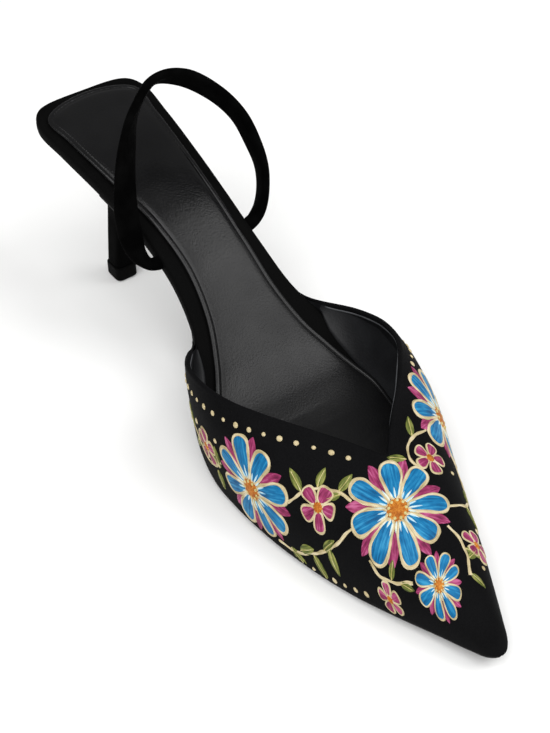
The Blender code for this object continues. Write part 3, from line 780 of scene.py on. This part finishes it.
def makeHeel(settings):
    # every level is the post's section blended towards the seat's outline, so the post flares into a cup
    f = lastForm
    inset, front = grown(insoleLine, -settings["seatInset"]), settings["seatFront"]
    medial, lateral = (np.interp(front, *edge) for edge in edgesOf(inset))
    breast = np.linspace((lateral, front), (medial, front), settings["breastPoints"])
    rim = np.concatenate([inset[inset[:, 1] >= front], breast]) - settings["seatCentre"]
    angle = np.arctan2(rim[:, 1], rim[:, 0])
    order = np.argsort(angle)
    post = postLoop(settings, 0.0)
    at = np.arctan2(post[:, 1], post[:, 0])
    reach = np.interp(at, angle[order], np.linalg.norm(rim, axis=1)[order], period=2 * np.pi)
    seat = settings["seatCentre"] + np.stack([reach * np.cos(at), reach * np.sin(at)], 1)
    foot = settings["postCentre"] + post
    rise = np.linspace(0, 1, settings["levels"])[:, None]
    spread, forward, aside = (tableAt(settings["rows"], k, rise) for k in (1, 2, 3))
    plan = foot + (seat - foot) * spread[..., None] + np.stack([aside, -forward], -1)
    low = settings["tipHeight"] + f["gap"]
    height = low + (profileAt(1, seat[:, 1]) + f["gap"] - low) * rise
    addTube("heelCover", np.dstack([plan, height]), heelSuede, "suede", stands=("heel",), sharp=60)
    height, growth = np.array(settings["tipRows"]).T
    plan = settings["postCentre"] + np.stack([postLoop(settings, grow) for grow in growth])
    height = np.repeat(height[:, None], settings["sides"], 1)
    addTube("heelTip", np.dstack([plan, height]), tipRubber, "top_piece", stands=("heel_tip",), sharp=50)


makeOutsole(outsole)
makeHeel(heel)
print("outsole, heel and top piece made")

strap = {
    "rows": (  # across, station, height, degrees its width turns from the normal of the loop's plane, width
        (-14.6, 176.8, 40.4, -50, 4.8), (-17.6, 178.6, 44.4, -75, 6.6), (-18.8, 181, 51.4, -100, 8.2),
        (-18, 184.2, 60, -95, 8.4), (-15.2, 188.2, 68.6, -76, 8.4), (-10.4, 193.4, 77, -58, 8.4),
        (-3.2, 199.6, 85, -30, 8.4), (7.8, 204.4, 90.8, -15, 8.4), (18, 202.8, 88.9, -30, 8.4),
        (27, 197, 82.4, -22, 8.4), (32.9, 191.6, 74, -11, 8.4), (35, 186.4, 65.2, -5, 8.4),
        (35.5, 182, 56.8, 7, 8.4), (33.6, 178.8, 49.2, 8, 7.6), (30.9, 177, 44.2, -4, 6.6),
        (28, 176.3, 41.2, -30, 5.4)),
    "ends": (176.4, 176.2),  # stations where its medial and lateral ends meet the footbed
    "endTurn": -61,
    "endWidth": 5,
    "seat": 1.7,  # height of its ends on the edge of the footbed
    "thick": 3,
    "loopNormal": (0, 0.88, -0.475),
    "spanSteps": 40,  # between neighbouring rows, before they are spaced evenly
    "count": 260,
    "tuck": 1.2,  # how far its ends run in under the footbed's wrap
    "arcSteps": 9,
    "crown": 0.14,  # of each flat face
}


def makeStrap(settings):
    # a band's section, two half rounds joined by crowned faces, carried along the strap's middle line; its
    # width turns away from the normal of the loop's plane
    f = lastForm
    edges = edgesOf(grown(insoleLine, 2 * f["gap"]))
    ends = [(edgeAt(edges, side, station), station, profileAt(1, station) + f["gap"] + settings["seat"],
             settings["endTurn"], settings["endWidth"]) for side, station in enumerate(settings["ends"])]
    line = smoothLine([ends[0], *settings["rows"], ends[1]], settings["spanSteps"])
    tuck = np.eye(1, 5) * settings["tuck"]
    line = np.concatenate([line[:1] + tuck, line, line[-1:] - tuck])
    at = np.linspace(0, runOf(line[:, :3])[-1], settings["count"])
    line = evenLine(line, settings["count"])
    middle, turn = line[:, :3], np.radians(line[:, 3:4])
    along = np.gradient(middle, axis=0)
    along[:2] = along[-2:] = (-1, 0, 0)
    along = unit(along)
    hoop = unit(settings["loopNormal"] - along * (along @ settings["loopNormal"])[:, None])
    wide = hoop * np.cos(turn) + np.cross(along, hoop) * np.sin(turn)
    thick = np.cross(along, wide)
    corner, steps = 0.5 * settings["thick"], settings["arcSteps"]
    arc = np.linspace(0, np.pi, steps)
    face = np.linspace(1, -1, steps)[1:-1]
    side = np.concatenate([np.ones(steps), face, -np.ones(steps), -face])  # share of the flat half width
    past = np.concatenate([np.sin(arc), 0 * face, -np.sin(arc), 0 * face]) * corner
    crowned = corner + settings["crown"] * (1 - face ** 2)
    high = np.concatenate([corner * np.cos(arc), -crowned, -corner * np.cos(arc), crowned])
    core = 0.5 * line[:, 4:5] - corner
    point = middle[:, None] + (core * side + past)[..., None] * wide[:, None] + high[:, None] * thick[:, None]
    girth = runOf(np.stack([side * core.max() + past, high], 1))
    uv = np.stack(np.broadcast_arrays(girth, at[:, None]), -1)
    uv = np.concatenate([uv[:1], uv, uv[-1:]])
    addTube("slingStrap", point, elastic, "strap", uv=uv, stands=("sling_strap",))


makeStrap(strap)
print("strap made")

chart = {
    "rows": 320,
    "columns": 241,
    "short": (0.4, 1),  # of the toe tip and of the wings' ends
    "toplineRoom": 4.0,  # degrees that stay bare at the topline
    "most": 0.985,  # share of the girth that can be painted
}


def makeChart(settings):
    # a map of the upper: station, and girth measured down each section from the ridge, medial side negative
    front, back = settings["short"]
    stations = np.linspace(upperTip + front, lastForm["wingEnd"] - back, settings["rows"])
    angles, shares = (np.linspace(*ends, settings["columns"]) for ends in ((90, 0), (0, 1)))
    runs = np.stack([runOf(upperPoint(side, stations[:, None], angles)) for side in (0, 1)])
    angleAt = [[np.interp(shares * row[-1], row, angles) for row in run] for run in runs]
    return stations, runs[..., -1], np.array(angleAt)


chartStations, chartReach, chartAngle = makeChart(chart)


def onUpper(station, girth, lift):
    # the place on the upper at a station and girth, lifted off the suede, by straight lines between the rows
    # and columns of the chart; false past the upper's ends, past most of its girth or too near the topline
    station, girth, lift = np.broadcast_arrays(*(np.asarray(v, float) for v in (station, girth, lift)))
    side = (girth > 0).astype(int)
    held = np.clip(station, chartStations[0], chartStations[-1])
    row = (held - chartStations[0]) / (chartStations[1] - chartStations[0])
    i = np.clip(row.astype(int), 0, len(chartStations) - 2)
    u = row - i
    share = np.abs(girth) / (chartReach[side, i] * (1 - u) + chartReach[side, i + 1] * u)
    col = np.clip(share, 0, 1) * (chartAngle.shape[2] - 1)
    j = np.clip(col.astype(int), 0, chartAngle.shape[2] - 2)
    v = col - j
    near, far = (chartAngle[side, k, j] * (1 - v) + chartAngle[side, k, j + 1] * v for k in (i, i + 1))
    angle = near * (1 - u) + far * u
    normal = upperNormal(side, held, angle)
    point = upperPoint(side, held, angle) + normal * lift[..., None]
    top = toplineAngle(side, station) - chart["toplineRoom"]
    inside = (station > chartStations[0]) & (station < chartStations[-1]) & (share < chart["most"])
    return point, normal, inside & ((station < lastForm["throat"]) | (angle < top))


def girthTo(side, station, angle):
    # girth from the ridge down to an angle of the section, along eighty short steps
    down = 90 + (angle[:, None] - 90) * np.linspace(0, 1, 81)
    return runOf(upperPoint(side, station[:, None], down))[:, -1] * (1 if side else -1)


def layPaint(name, groups, finish):
    # each group is a stack of equal grids of station, girth, lift and brush coordinates, laid on the upper
    points, normals, uvs, faces, base = [], [], [], [], 0
    for station, girth, lift, uv in groups:
        point, normal, inside = onUpper(station, girth, lift)
        quads = gridFaces(point.shape[1], point.shape[2], point.shape[0])
        quads = quads[inside.ravel()[quads].all(1)]
        points.append(point.reshape(-1, 3))
        normals.append(normal.reshape(-1, 3))
        uvs.append(np.broadcast_to(uv, point.shape[:3] + (2,)).reshape(-1, 2))
        faces.append(quads + base)
        base += len(points[-1])
    points, normals, uvs, faces = (np.concatenate(rows) for rows in (points, normals, uvs, faces))
    addPiece(name, points, faces, finish, "suede", outward=normals, uv=uvs)


brush = {
    "rise": (4, 6, 12),  # how steeply a blade's face rises from its sides, its root and its tip
    "pressed": ((0.17, 0.55, 1.7), (0.13, 1.43, 0.6)),  # waves in a line's width: share, rate, shift by line
    "wander": (0.09, 0.93, 2.3),  # wave in a line's course: mm, rate, shift from line to line
    "apart": {"blades": 7.3, "discs": 5.1, "strokes": 3.7},  # mm from the brush marks of one to the next
}


def motifs(kind, part, station, girth, dome, along, across):
    # a stack of grids whose lift goes from the rim's to the crown's as the dome goes from 0 to 1; the brush
    # marks of each motif are set apart from the next one's
    across = across + np.arange(len(station))[:, None, None] * brush["apart"][kind]
    rim, crown = part["lifts"]
    return station, girth, rim + (crown - rim) * dome, np.stack(np.broadcast_arrays(along, across), -1)


def blades(bases, turns, lengths, halves, shape, part):
    # petals or leaves: a grid along and across each blade, whose half width follows shape, with a domed face
    rows, cols = part["grid"]
    t = np.linspace(0, 1, rows)
    a = (1 - (1 - t) ** 2)[None, :, None]
    b = np.sin(0.5 * np.pi * np.linspace(-1, 1, cols))[None, None, :]
    lengths, halves, turns = (np.asarray(v, float)[:, None, None] for v in (lengths, halves, turns))
    along, across = lengths * a, halves * shape(a) * b
    c, s = np.cos(np.radians(turns)), np.sin(np.radians(turns))
    station = bases[:, 0, None, None] + along * c - across * s
    girth = bases[:, 1, None, None] + along * s + across * c
    sides, root, tip = brush["rise"]
    rim = np.minimum((1 - b ** 2) * sides, 1) * np.minimum(np.minimum(a * root, (1 - a) * tip), 1)
    return motifs("blades", part, station, girth, rim ** 0.5, along, across)


def discs(centres, radii, part):
    # round domes on a polar grid
    rings, spokes = part["grid"]
    rho = np.sin(0.5 * np.pi * np.linspace(0, 1, rings))[None, :, None]
    turn = np.linspace(0, 2 * np.pi, spokes)[None, None, :]
    centres, radii = np.asarray(centres, float), np.asarray(radii, float)[:, None, None]
    station = centres[:, 0, None, None] + radii * rho * np.cos(turn)
    girth = centres[:, 1, None, None] + radii * rho * np.sin(turn)
    dome = np.sqrt(np.clip(1 - rho ** 2, 0, 1))
    return motifs("discs", part, station, girth, dome, radii * rho, radii * turn)


def strokes(path, half, part):
    # brush lines: a domed section carried along each path, thinner and thicker as the brush is pressed
    along = unit(np.gradient(path, axis=1))
    normal = np.stack([-along[..., 1], along[..., 0]], -1)
    run = runOf(path)
    order = np.arange(len(path))[:, None]
    pressed = 1
    for share, rate, shift in brush["pressed"]:
        pressed = pressed + share * np.sin(run * rate + order * shift)
    way, rate, shift = brush["wander"]
    path = path + normal * (way * np.sin(run * rate + order * shift))[..., None]
    b = np.sin(0.5 * np.pi * np.linspace(-1, 1, part["columns"]))
    off = (half * pressed)[..., None] * b
    station = path[..., 0, None] + normal[..., 0, None] * off
    girth = path[..., 1, None] + normal[..., 1, None] * off
    return motifs("strokes", part, station, girth, np.sqrt(1 - b ** 2), run[..., None], off)


garland = {
    "daisies": (  # station, girth, radius, turn
        (87, -41, 15.5, 8), (46.5, -7, 16.5, 20), (73, 32, 15.5, 4), (106, 55, 9.5, 15),
        (21.5, -8.5, 8.5, 12)),
    "blossoms": (  # small five-petalled flowers: station, girth, radius, turn
        (64.5, -27, 6.4, 10), (57, 13, 5.6, 40), (27, 11, 5, 25), (110.5, -47, 6, 0), (33, -27, 4.6, 50),
        (91, 51, 5.4, 12), (49, 33, 5, 30)),
    "vines": (  # station and girth of points on each stem
        ((131, -56.5), (121, -52), (112, -54.5), (106, -51), (102.2, -45.4)),
        ((75, -51.2), (68, -48.5), (60, -40), (54.5, -31), (52.2, -21.8)),
        ((73.2, -33.4), (69.5, -25), (64, -20), (57.8, -17.3)),
        ((34.2, 4.2), (29, 5.4), (23, 4.5), (17, 2)),
        ((54.5, 7.5), (59, 6), (64, 9.5), (66.5, 18)),
        ((40, 8), (41, 18), (47, 26), (57.3, 29.8)),
        ((85.5, 41.5), (93, 43.5), (98.4, 48.8)),
        ((42.6, -23.2), (38, -23.6), (33, -20.5), (28.2, -15.2))),
    "leaves": (  # station, girth, turn, length
        (122, -52.5, 60, 8), (116, -53, 150, 7.5), (118.5, -53, -70, 7), (105, -51.5, -110, 7.5),
        (126, -54, 10, 7), (103, -49, 70, 8), (70, -48, -160, 8.5), (66, -45.5, 130, 8),
        (61, -41, -140, 8.5), (57.5, -36, 110, 7), (56, -33, -135, 8), (71, -27.5, 25, 7.5),
        (68, -23, 70, 6.5), (62.5, -19.3, 80, 7), (61.5, -19, -60, 5.5), (26, 5, 120, 6),
        (22.5, 4.5, 60, 6), (18, 2.5, 150, 5.5), (41, 17, 150, 8), (43, 21, 40, 7.5), (49, 27, 100, 7),
        (59, 5, -60, 6.5), (65, 11, 20, 7), (88, 42, 20, 8), (90, 42.5, 110, 7), (36, -22.5, -120, 6.5),
        (31.5, -19, 150, 5.5), (34, -21, 60, 5.5)),
    "dotRows": (  # points on each row of dots, dot spacing
        (((99, -31.5), (104, -38), (118, -44.5)), 4.2),
        (((73, -55), (62, -49), (50, -41.5), (41, -35)), 4.4), (((60, -9), (58, 0)), 4),
        (((33, -13), (32, -3)), 3.6), (((52, 20), (60, 19)), 4), (((33, 17), (37, 25), (43, 32)), 4.2),
        (((80, 50), (72, 49), (62, 44)), 4.2), (((15.5, 3), (20, 9)), 3.6)),
    "borders": ((0, 64, 134), (1, 64, 124)),  # side, first and last station of the dotted border
    "borderInset": 6,  # from the topline
    "borderStep": 4.4,
    "dotRoom": 1.5,  # clear round each flower and leaf
    "leafRoom": 0.42,  # share of a leaf's length that is kept clear round its middle
    # a flower's lengths are shares of its radius and its turns are degrees; lifts are mm off the suede at the
    # rim and on the crown of the paint, and a grid counts points along and across, or out and round
    "sway": 45,  # degrees that a petal turns for each share by which it differs
    "daisy": {
        "petals": 8, "differ": 0.06, "order": 0,  # of the first flower, for the way its petals differ
        "back": {"start": 0.34, "turn": 22.5, "length": 0.7, "half": 0.19, "lifts": (-0.06, 0.16),
                 "grid": (15, 9)},
        "front": {"start": 0.16, "turn": 0, "length": 0.82, "half": 0.235, "lifts": (-0.06, 0.3),
                  "grid": (15, 9)},
        "rim": {"half": 0.036, "lifts": (0, 0.42), "columns": 5},
        "ray": {"count": 24, "start": 0.2, "turn": 4, "length": 0.24, "differ": 0.06, "rate": 2.4,
                "half": 0.022, "lifts": (0.24, 0.38), "grid": (7, 5)},
        "eye": {"half": 0.225, "lifts": (0.1, 0.75), "grid": (7, 25)},
        "seeds": {"count": 9, "start": 0.17, "turn": 11, "half": 0.034, "lifts": (0.45, 0.78),
                  "grid": (4, 9)}},
    "blossom": {
        "petals": 5, "differ": 0.08, "order": 4,
        "front": {"start": 0.14, "turn": 0, "length": 0.84, "half": 0.4, "lifts": (-0.06, 0.28),
                  "grid": (11, 7)},
        "rim": {"half": 0.062, "lifts": (0, 0.36), "columns": 5},
        "eye": {"half": 0.26, "lifts": (0.1, 0.6), "grid": (5, 17)}},
    "vine": {"half": 0.48, "lifts": (-0.05, 0.26), "columns": 5, "spanSteps": 24, "points": 48},
    "leaf": {"half": 0.21, "lifts": (-0.06, 0.24), "grid": (11, 7)},  # half width as a share of its length
    "rib": {"half": 0.17, "lifts": (0.16, 0.34), "columns": 3, "reach": (0.04, 0.86), "points": 9},
    "dot": {"radius": 0.82, "differ": 0.16, "rate": 2.1, "lifts": (-0.06, 0.42), "grid": (4, 11)},
    "paints": (  # piece, finish, three tones, length and width of a brush streak in mm
        ("pinkPaint", "rosePinkAcrylic", ("#5e1638", "#8e2c58", "#b65c86"), (6.0, 0.7)),
        ("bluePaint", "skyBlueAcrylic", ("#014b78", "#056a9c", "#308cb8"), (9.0, 0.75)),
        ("rayPaint", "paleBlueAcrylic", ("#7db8d6", "#bcd6dc", "#e2dfc8"), (4.0, 0.5)),
        ("leafPaint", "oliveGreenAcrylic", ("#3a421b", "#616a2c", "#949450"), (6.0, 0.6)),
        ("creamPaint", "creamAcrylic", ("#9d8e66", "#c2b28a", "#dacdae"), (5.0, 0.5)),
        ("orangePaint", "orangeAcrylic", ("#84430a", "#b0641a", "#cf9038"), (1.2, 0.8)),
        ("goldPaint", "paleGoldAcrylic", ("#a3934f", "#c4b678", "#dcd2a6"), (3.0, 0.4))),
}


def petalShape(a):
    # half width of a broad petal: a root of the way along, rounded off at its end
    return 1.06 * a ** 0.55 * np.sqrt(np.clip(1 - a ** 6, 0, 1))


def pointedShape(a):
    # half width of a pointed petal: a root of the way along times a power of what is left
    return 2.05 * a ** 0.6 * np.clip(1 - a, 0, 1) ** 0.8


def leafShape(a):
    # half width of a leaf: half a sine wave, fullest a little before its middle
    return np.sin(np.pi * np.clip(a, 0, 1) ** 0.85) ** 0.9


def handDrawn(count, order, amount):
    # factors near 1 that differ a little from petal to petal and from flower to flower, by a sine wave
    return 1 + amount * np.sin(2.3 * np.arange(count) + 1.7 * order)


def headings(turns):
    # steps of one mm in station and girth at angles in degrees
    return np.stack([np.cos(np.radians(turns)), np.sin(np.radians(turns))], 1)


def uneven(part, size, count):
    # a size that differs from one to the next by the values of a sine wave
    return part[size] + part["differ"] * np.sin(np.arange(count) * part["rate"])


def aroundFlower(flower, part, count, sway=0):
    # bases on a circle round a flower's middle, each turned outwards
    turns = flower[3] + np.arange(count) * 360 / count + part["turn"] + sway
    return flower[:2] + part["start"] * flower[2] * headings(turns), turns


def petalsOf(flower, part, longer, wider, sway):
    # a ring of petals round a flower: bases, turns, lengths and half widths
    sizes = part["length"] * flower[2] * longer, part["half"] * flower[2] * wider
    return *aroundFlower(flower, part, len(longer), sway), *sizes


def rimPaths(bases, turns, length, half, shape, count):
    # the outline of each petal, up one side and down the other
    t = np.linspace(0, 1, count)
    a = 1 - (1 - t) ** 2
    a, side = np.concatenate([a, a[::-1][1:]]), np.concatenate([np.ones(count), -np.ones(count - 1)])
    x, y = length[:, None] * a, half[:, None] * shape(a) * side
    c, s = headings(turns).T[..., None]
    return np.stack([bases[:, :1] + x * c - y * s, bases[:, 1:] + x * s + y * c], -1)


def frontOf(flower, parts, longer, wider, sway):
    # a flower's front petals, the lines round their rims, and its eye
    petal, rim, eye = (parts[key] for key in ("front", "rim", "eye"))
    front = petalsOf(flower, petal, longer, wider, sway)
    lines = rimPaths(*front, petalShape, petal["grid"][0])
    return (blades(*front, petalShape, petal), strokes(lines, rim["half"] * flower[2], rim),
            discs([flower[:2]], [eye["half"] * flower[2]], eye))


def dotsOf(settings):
    # even dots along the rows and along both toplines, without those that a flower or a leaf would cover
    lines = [(smoothLine(path, 12), step) for path, step in settings["dotRows"]]
    dots = [evenLine(line, max(2, int(runOf(line)[-1] / step) + 1)) for line, step in lines]
    for side, first, last in settings["borders"]:
        station = np.linspace(first, last, 400)
        top = girthTo(side, station, toplineAngle(side, station))
        border = np.stack([station, top + settings["borderInset"] * (1 if side else -1)], 1)
        dots.append(evenLine(border, int(runOf(border)[-1] / settings["borderStep"]))[1:])
    dots = np.concatenate(dots)
    flowers, leaves = np.array(settings["daisies"] + settings["blossoms"]), np.array(settings["leaves"])
    middles = leaves[:, :2] + 0.5 * leaves[:, 3:] * headings(leaves[:, 2])
    room = settings["leafRoom"] * leaves[:, 3]
    taken = np.concatenate([flowers[:, :3], np.column_stack([middles, room])])
    clear = np.linalg.norm(dots[:, None] - taken[:, :2], axis=2) > taken[:, 2] + settings["dotRoom"]
    return dots[clear.all(1)]


def paintGarland(settings):
    # daisies, blossoms, leaves and dots, painted in layers that stand a few tenths of a mm off the suede
    pink, blue, pale, green, cream, orange, gold = layers = [[] for _ in settings["paints"]]
    parts = settings["daisy"]
    for order, flower in enumerate(settings["daisies"], parts["order"]):
        radius, drawn = flower[2], handDrawn(parts["petals"], order, parts["differ"])
        sway = settings["sway"] * (drawn - 1)
        back = petalsOf(flower, parts["back"], drawn, drawn[::-1], -sway)
        pink.append(blades(*back, pointedShape, parts["back"]))
        for layer, motif in zip((blue, cream, orange), frontOf(flower, parts, drawn[::-1], drawn, sway)):
            layer.append(motif)
        ray, even = parts["ray"], np.ones(parts["ray"]["count"])
        bases, turns, _, half = petalsOf(flower, ray, even, even, 0)
        pale.append(blades(bases, turns, radius * uneven(ray, "length", len(even)), half, leafShape, ray))
        seed = parts["seeds"]
        bases, _ = aroundFlower(flower, seed, seed["count"])
        gold.append(discs(bases, np.full(len(bases), seed["half"] * radius), seed))
    parts = settings["blossom"]
    for order, flower in enumerate(settings["blossoms"], parts["order"]):
        drawn = handDrawn(parts["petals"], order, parts["differ"])
        sway = settings["sway"] * (drawn - 1)
        for layer, motif in zip((pink, cream, orange), frontOf(flower, parts, drawn, drawn[::-1], sway)):
            layer.append(motif)
    vine, leaf, rib, dot = (settings[key] for key in ("vine", "leaf", "rib", "dot"))
    stems = [evenLine(smoothLine(path, vine["spanSteps"]), vine["points"]) for path in settings["vines"]]
    cream.append(strokes(np.stack(stems), vine["half"], vine))
    bases, turns, length = np.split(np.array(settings["leaves"]), (2, 3), axis=1)
    turns = turns[:, 0]
    green.append(blades(bases, turns, length[:, 0], leaf["half"] * length[:, 0], leafShape, leaf))
    way = length * np.linspace(*rib["reach"], rib["points"])
    ribs = bases[:, None] + way[..., None] * headings(turns)[:, None]
    gold.append(strokes(ribs, rib["half"], rib))
    dots = dotsOf(settings)
    cream.append(discs(dots, uneven(dot, "radius", len(dots)), dot))
    for (name, finish, tones, streakMm), groups in zip(settings["paints"], layers):
        layPaint(name, groups, paintFinish(finish, tones, streakMm))
    print("garland painted:", len(settings["daisies"]), "daisies,", len(dots), "dots")


paintGarland(garland)

floorPiece = {"half": 1.6, "below": 0.0002, "points": 9, "fibreMm": 30.0}  # the first two in metres


def makeFloor(settings):
    # one flat sheet of matt paper just under the treads, whose fibres give it faint pale clouds
    count = settings["points"]
    grid = np.linspace(-settings["half"], settings["half"], count)
    x, y, z = np.meshgrid(grid, grid, -settings["below"], indexing="ij")
    mesh = bpy.data.meshes.new("studioFloor")
    corners = np.stack([x, y, z], -1).reshape(-1, 3)
    mesh.from_pydata(corners.tolist(), [], gridFaces(count, count)[:, ::-1].tolist())
    made, tree, shader, _, fibre = newFinish(
        "paleStudioPaper", {"Roughness": 0.9, "Specular IOR Level": 0.2}, (settings["fibreMm"], 4, 0.5))
    colour = addNode(tree, "ShaderNodeValToRGB", {"Fac": fibre}, ((0.3, "#fafaf9"), (0.7, "#fcfcfb")))
    tree.links.new(colour, shader.inputs["Base Color"])
    mesh.materials.append(made)
    floor = bpy.data.objects.new("studioFloor", mesh)
    scene.collection.objects.link(floor)


makeFloor(floorPiece)

lights = (  # name, place, aim, size, watts
    ("sideSoftbox", (0.58, -0.47, 0.92), (0.0, 0.03, 0.03), 0.85, 6.4),
    ("topFill", (-0.75, -0.55, 1.45), (0.0, 0.0, 0.02), 2.0, 30.0),
)
for name, place, aim, size, watts in lights:
    lamp = bpy.data.lights.new(name, "AREA")
    lamp.energy, lamp.size, lamp.shape = watts, size, "DISK"
    placeFacing(name, lamp, place, aim)
scene.world = bpy.data.worlds.new("studioWorld")
scene.world.use_nodes = True
studioSky = {"Color": linear("#fbfbfb"), "Strength": 0.33}
for socket, value in studioSky.items():
    scene.world.node_tree.nodes["Background"].inputs[socket].default_value = value
scene.view_settings.view_transform = "Standard"
print("floor and lights set")
